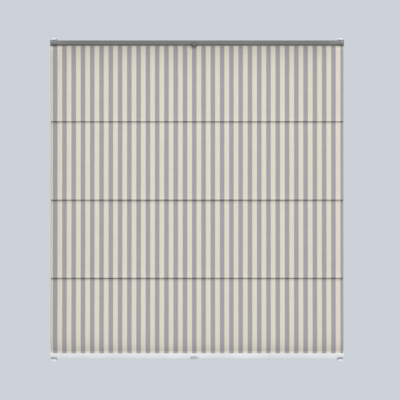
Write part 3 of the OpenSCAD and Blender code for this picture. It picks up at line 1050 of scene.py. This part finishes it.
    def spans(self, path: np.ndarray) -> list[tuple[float, float]]:
        """Gives the heights between which a sheet hangs free of its tucks.

        Args:
            path: The sheet's side view.

        Returns:
            The upper and the lower end of each span.
        """
        clear = 2 * self.shoulder_h
        low, high = path[:, 1].min(), path[:, 1].max()
        edges = [high, *(fold for fold in self.folds if low + clear < fold < high - clear), low]
        return [(upper - clear, lower + clear) for upper, lower in zip(edges, edges[1:])]

    def sleeve(self, k: int) -> Piece:
        """Makes the sleeve that holds a rod behind a fold, with the flat neck that is sewn into the seam.

        Args:
            k: The fold's number, from one.

        Returns:
            The new object.
        """
        low, high = self.rods[k - 1]
        axis = np.array([-(low[1] + high[1]) / 2, self.folds[k - 1]])
        radius = (high[2] - low[2]) / 2 + self.sleeve_gap + self.sleeve_wall / 2
        neck_h = self.sleeve_wall * self.neck_h
        front = self.plane - self.seam_in - self.seam_r
        turn = np.radians(np.linspace(self.sleeve_open_deg, 360 - self.sleeve_open_deg, self.sleeve_rows))
        # An odd number of stations, two thirds of a column apart
        stations = np.linspace(-self.sleeve_half, self.sleeve_half, 2 * int(1.5 * self.sleeve_half / self.column) + 1)
        short, long = self.sleeve_ripples
        ripple = short.at(stations + self.sleeve_drift.at(stations, k)) + long.at(stations, k)
        loops = []
        for x, swell in zip(stations, ripple):
            ring = axis + (radius + swell) * np.stack([np.cos(turn), np.sin(turn)], -1)
            neck = ring[0][0] + self.sleeve_wall
            # The neck widens where it meets the ring
            flat = np.array([[front, neck_h], [(front + neck) / 2, neck_h], [neck, neck_h * 1.4]])
            path = np.concatenate([flat + (0, axis[1]), ring, (flat * (1, -1))[::-1] + (0, axis[1])])
            normals = front_normals(path) * self.sleeve_wall / 2
            outline = np.concatenate([path + normals, (path - normals)[::-1]])
            loops.append(np.stack([np.full(len(outline), x), -outline[:, 0], outline[:, 1]], -1))
        return new_piece(f"sleeve_{k}", *skin_over(np.array(loops)), self.weave, sharp_deg=60)

    def build(self) -> list[Piece]:
        """Builds the cloth and joins it to the bodies that carry it.

        Returns:
            The sheets, sleeves and stitches.
        """
        upper_side, lower_side = self.upper_path(), self.lower_path()
        upper, lower = self.sheet("cloth_upper", upper_side), self.sheet("cloth_lower", lower_side)
        upper_seams = self.stitches("stitches_upper", upper_side, self.band + 2 * self.stem)
        lower_seams = self.stitches("stitches_lower", lower_side, self.low_band - 2 * self.stem)
        for piece in (upper, upper_seams):
            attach(piece, "top_rail")
            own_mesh(piece)
        for piece in (lower, lower_seams):
            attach(piece, "batten_3")
            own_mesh(piece)
        sleeves = [self.sleeve(k) for k in (1, 2, 3)]
        for k, sleeve in enumerate(sleeves, 1):
            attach(sleeve, f"batten_{k}")
        for piece in (upper, lower, *sleeves):
            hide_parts("cloth")
        return [upper, lower, *sleeves, upper_seams, lower_seams]


class SubAssembly:
    """Pieces of the frame that belong together, each with its finish."""

    def finishes(self) -> dict[str, Finish]:
        """Gives the finish of each node."""
        raise NotImplementedError

    def build(self) -> list[Piece]:
        """Gives every solid its finish.

        Returns:
            The objects that were dressed or made.
        """
        solids = []
        for node, finish in self.finishes().items():
            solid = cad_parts[node]
            solid.data.materials.clear()
            solid.data.materials.append(finish.material())
            solids.append(solid)
        return solids


@dataclass
class RailAssembly(SubAssembly):
    """A rail with its end caps, cord brakes, grip and the strip that holds the cloth.

    Attributes:
        end: The end of the blind.
    """

    end: End

    def finishes(self) -> dict[str, Finish]:
        """Gives a grey set at the top and a white one at the bottom.

        Returns:
            The finishes by node.
        """
        top = self.end is End.TOP
        # The bottom grip's greyer plastic is painted shade for its finger scoop
        finishes = {"rail": GREY_RAIL if top else WHITE_RAIL, "grip": GREY_PLASTIC if top else GRIP_PAINTED_SHADE_PLASTIC,
                    "strip": STRIP}
        for side in Side:
            finishes[f"cap_{side.value}"] = GREY_PLASTIC if top else WHITE_PLASTIC
            finishes[f"brake_{side.value}"] = RUBBER
        return {f"{self.end.value}_{part}": finish for part, finish in finishes.items()}


@dataclass
class CornerClamp(SubAssembly):
    """A bracket with its pad and screw, and the shoe that holds the end of a cord.

    Attributes:
        end: The end of the blind.
        side: Its side.
        pitch: The pitch of the screw's thread, in millimetres as the other sizes.
        shank: Thickness of the screw's shank, as a share of its head's.
        thread_h: How far the thread stands out from the shank.
        ridge: Corners of the thread's section, as shares of that height and of the pitch.
        tip: The share of that height which is left where the thread ends.
        head_h: Height of the screw's head.
        steps: Points of the thread in one turn.
    """

    end: End
    side: Side
    pitch: float = 0.7
    shank: float = 0.5
    thread_h: float = 0.22
    ridge: tuple[tuple[float, float], ...] = ((-0.2, -0.3), (1, -0.08), (1, 0.08), (-0.2, 0.3))
    tip: float = 0.05
    head_h: float = 2.8
    steps: int = 20

    def node(self, part: str) -> str:
        """Gives the name of this corner's node for a part."""
        return f"{part}_{self.end.value}_{self.side.value}"

    def finishes(self) -> dict[str, Finish]:
        """Gives the finishes, with a spring at the bottom corners only.

        Returns:
            The finishes by node.
        """
        finishes = {self.node("bracket"): WHITE_BRACKET, self.node("pad"): FOAM, self.node("clamp_screw"): ZINC,
                    self.node("tension_shoe"): NYLON, self.node("cord_lock"): BRASS}
        if self.end is End.BOTTOM:
            finishes[f"tension_spring_{self.side.value}"] = ZINC
        return finishes

    def thread(self) -> Piece:
        """Makes the thread of the clamp screw as one ridge along a helix, which runs out at both ends.

        Returns:
            The new object.
        """
        low, high = in_mm(self.node("clamp_screw"))
        middle = (low + high) / 2
        radius = (high[0] - low[0]) / 2 * self.shank
        start, end = low[1] + self.pitch, high[1] - self.head_h - self.pitch
        count = int((end - start) / self.pitch * self.steps)
        i = np.arange(count + 1)
        a = 2 * np.pi * i / self.steps
        run_out = np.clip(np.minimum(i, count - i) / self.steps, self.tip, 1)
        rings = []
        for out, along in self.ridge:
            r = radius + self.thread_h * out * run_out
            y = start + self.pitch * (a / (2 * np.pi) + along)
            rings.append(np.stack([middle[0] + r * np.cos(a), y, middle[2] + r * np.sin(a)], -1))
        return new_piece(self.node("screw_thread"), *skin_over(np.stack(rings, 1)), ZINC)

    def build(self) -> list[Piece]:
        """Dresses the solids and adds the screw's thread.

        Returns:
            The objects that were dressed or made.
        """
        thread = self.thread()
        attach(thread, "root")
        return [*super().build(), thread]


@dataclass
class GuideCord(SubAssembly):
    """A tensioned cord between two shoes.

    Attributes:
        side: Its side of the blind.
    """

    side: Side

    def finishes(self) -> dict[str, Finish]:
        """Gives the braid."""
        return {f"guide_cord_{self.side.value}": CORD}


@dataclass
class Batten(SubAssembly):
    """A rod behind a fold, with a guide on each end.

    Attributes:
        number: The fold's number, from one at the top.
    """

    number: int

    def finishes(self) -> dict[str, Finish]:
        """Gives the rod's fibres and the guides' plastic."""
        name = f"batten_{self.number}"
        return {name: ROD} | {f"{name}_guide_{side.value}": WHITE_PLASTIC for side in Side}


def stage_piece(name: str, points: Sequence[Sequence[float]], faces: Sequence[Sequence[int]],
                material: bpy.types.Material, height: float = 0.0, seen: bool = True) -> Piece:
    """Makes an object of the studio, which is no part of the blind.

    Args:
        name: Its name.
        points: Its points, in metres.
        faces: Its faces, as numbers of points.
        material: Its material.
        height: Where it stands along Z.
        seen: Whether the camera sees it.

    Returns:
        The new object.
    """
    mesh = bpy.data.meshes.new(name)
    mesh.from_pydata(points, [], faces)
    mesh.materials.append(material)
    piece = new_object(name, mesh)
    piece.location = (0, 0, height)
    piece.visible_camera = seen
    return piece


@dataclass(frozen=True)
class Flag:
    """A plate that keeps a part of the light off the blind, and that no camera sees.

    Attributes:
        name: Its name.
        start: Where it begins, as X and Z in metres.
        end: Where it ends.
        depth: How far it stands out to the front.
    """

    name: str
    start: tuple[float, float]
    end: tuple[float, float]
    depth: float

    def build(self) -> Piece:
        """Makes the plate."""
        corners = [(x, y, z) for y in (0, -self.depth) for x, z in (self.start, self.end)]
        return stage_piece(self.name, corners, [(0, 1, 3, 2)], RUBBER.material(), seen=False)


@dataclass
class Studio:
    """The pale backdrop and floor, the soft lights and the camera, in metres.

    Attributes:
        backdrop: Colour behind the blind.
        ambient: Strength of the light that comes from all round.
        floor_z: Height of the floor.
        floor_colours: What the floor looks like to other pieces and to the camera.
        fade: Distances between which the floor fades into the backdrop.
        frame_w: Width that the picture takes in at the cloth.
        stand_off: Distance of the camera from the cloth.
        aim: The point of the cloth in the middle of the picture.
        flags: The flags above and beside the blind.
    """

    backdrop: str = "#ccd2d8"
    ambient: float = 0.37
    floor_z: float = -2.4
    floor_colours: tuple[str, str] = ("#94989c", "#ccd1d6")
    fade: tuple[float, float] = (0.7, 2.4)
    frame_w: float = 1.6076
    stand_off: float = 6.0
    aim: tuple[float, float, float] = (0.0118, -0.024, -0.647)
    flags: tuple[Flag, ...] = (Flag("upper_flag", (-0.535, 0.05), (0.56, 0.05), 0.1),
                               Flag("side_flag", (-0.594, -1.25), (-0.594, -0.03), 0.07))

    def world(self) -> None:
        """Sets the backdrop's colour for what the camera sees, and a plain ambient light for the rest."""
        world = bpy.data.worlds.new("studio_world")
        world.use_nodes = True
        bpy.context.scene.world = world
        tree = world.node_tree
        tree.nodes.clear()
        rays = add_node(tree, "ShaderNodeLightPath")
        seen = rays.outputs["Is Camera Ray"]
        for kind in ("Is Glossy Ray", "Is Transmission Ray"):
            seen = add_node(tree, "ShaderNodeMath", {0: seen, 1: rays.outputs[kind]}, operation="MAXIMUM").outputs[0]
        light = add_node(tree, "ShaderNodeBackground", {"Color": linear("#f4f6f8"), "Strength": self.ambient})
        shown = add_node(tree, "ShaderNodeBackground", {"Color": linear(self.backdrop), "Strength": 1.0})
        mixed = add_node(tree, "ShaderNodeMixShader", {
            "Fac": seen, 1: light.outputs["Background"], 2: shown.outputs["Background"],
        })
        add_node(tree, "ShaderNodeOutputWorld", {"Surface": mixed.outputs["Shader"]})

    def floor(self) -> Piece:
        """Makes a round pale floor that fades into the backdrop.

        Returns:
            The floor.
        """
        material, tree = new_material("pale_floor")
        place = add_node(tree, "ShaderNodeTexCoord").outputs["Object"]
        away = add_node(tree, "ShaderNodeVectorMath", {0: place}, operation="LENGTH")
        share = add_node(tree, "ShaderNodeMapRange", {
            "Value": away.outputs["Value"], "From Min": self.fade[0], "From Max": self.fade[1],
        }, interpolation_type="SMOOTHSTEP")
        # The floor looks pale, but throws back only as much light as the ambient light's lower half
        thrown, shown = self.floor_colours
        colour = add_node(tree, "ShaderNodeMix", {
            "Factor": add_node(tree, "ShaderNodeLightPath").outputs["Is Camera Ray"],
            6: linear(thrown), 7: linear(shown),
        }, data_type="RGBA")
        matt = add_node(tree, "ShaderNodeBsdfDiffuse", {"Color": colour.outputs[2]})
        clear = add_node(tree, "ShaderNodeBsdfTransparent")
        mixed = add_node(tree, "ShaderNodeMixShader", {
            "Fac": share.outputs["Result"], 1: matt.outputs["BSDF"], 2: clear.outputs["BSDF"],
        })
        add_node(tree, "ShaderNodeOutputMaterial", {"Surface": mixed.outputs["Shader"]})
        corners = 64
        turn = 2 * math.pi * np.arange(corners) / corners
        # The rim lies a little beyond the place where the floor has faded
        rim = np.stack([np.cos(turn), np.sin(turn), np.zeros(corners)], -1) * self.fade[1] * 1.1
        return stage_piece("floor", rim.tolist(), [list(range(corners))], material, height=self.floor_z)

    def far_light(self, name: str, bearing_deg: float, height_deg: float, angle_deg: float, power: float) -> None:
        """Adds soft parallel light, as from a wide bright sky, so that the whole blind is lit alike.

        Args:
            name: The lamp's name.
            bearing_deg: Its direction to the right of the blind's front.
            height_deg: Its height above the horizon.
            angle_deg: How wide it looks from the blind.
            power: Its power in watts a square metre.
        """
        lamp = bpy.data.lights.new(name, "SUN")
        lamp.angle, lamp.energy = math.radians(angle_deg), power
        new_object(name, lamp).rotation_euler = (math.radians(90 - height_deg), 0, math.radians(bearing_deg))

    def softbox(self, name: str, place: tuple[float, float, float], size: float, power: float) -> None:
        """Adds a square area light that faces the blind.

        Args:
            name: The lamp's name.
            place: Where it stands.
            size: Length of its side.
            power: Its power in watts.
        """
        lamp = bpy.data.lights.new(name, "AREA")
        lamp.shape, lamp.size, lamp.energy = "SQUARE", size, power
        box = new_object(name, lamp)
        box.location = place
        box.rotation_euler = (Vector(self.aim) - Vector(place)).to_track_quat("-Z", "Y").to_euler()

    def camera(self) -> None:
        """Places the camera straight in front of the blind."""
        data = bpy.data.cameras.new("camera")
        data.lens = data.sensor_width * self.stand_off / self.frame_w
        camera = new_object("camera", data)
        camera.location = (self.aim[0], self.aim[1] - self.stand_off, self.aim[2])
        camera.rotation_euler = (math.pi / 2, 0, 0)
        bpy.context.scene.camera = camera

    def build(self) -> None:
        """Builds the backdrop, the floor, the lights and the camera."""
        self.camera()
        self.world()
        self.floor()
        for flag in self.flags:
            flag.build()
        self.far_light("key_light", bearing_deg=16, height_deg=46, angle_deg=54, power=2.42)
        self.softbox("fill_light", (0.2, -2.4, 0.4), size=1.8, power=11)
        self.softbox("back_light", (-1.2, 2.4, 0.8), size=1.8, power=60)
        bpy.context.scene.view_settings.view_transform = "Standard"


def main() -> None:
    """Builds the studio and the blind, and reports each piece."""
    logging.basicConfig(level=logging.INFO, format="%(message)s")
    Studio().build()
    assemblies = [*(RailAssembly(end) for end in End),
                  *(CornerClamp(end, side) for end in End for side in Side),
                  *(GuideCord(side) for side in Side),
                  *(Batten(number) for number in (1, 2, 3)),
                  Cloth()]
    for assembly in assemblies:
        for piece in assembly.build():
            LOG.info("%s, %s: %d faces", type(assembly).__name__, piece.name, len(piece.data.polygons))


if __name__ == "__main__":
    main()
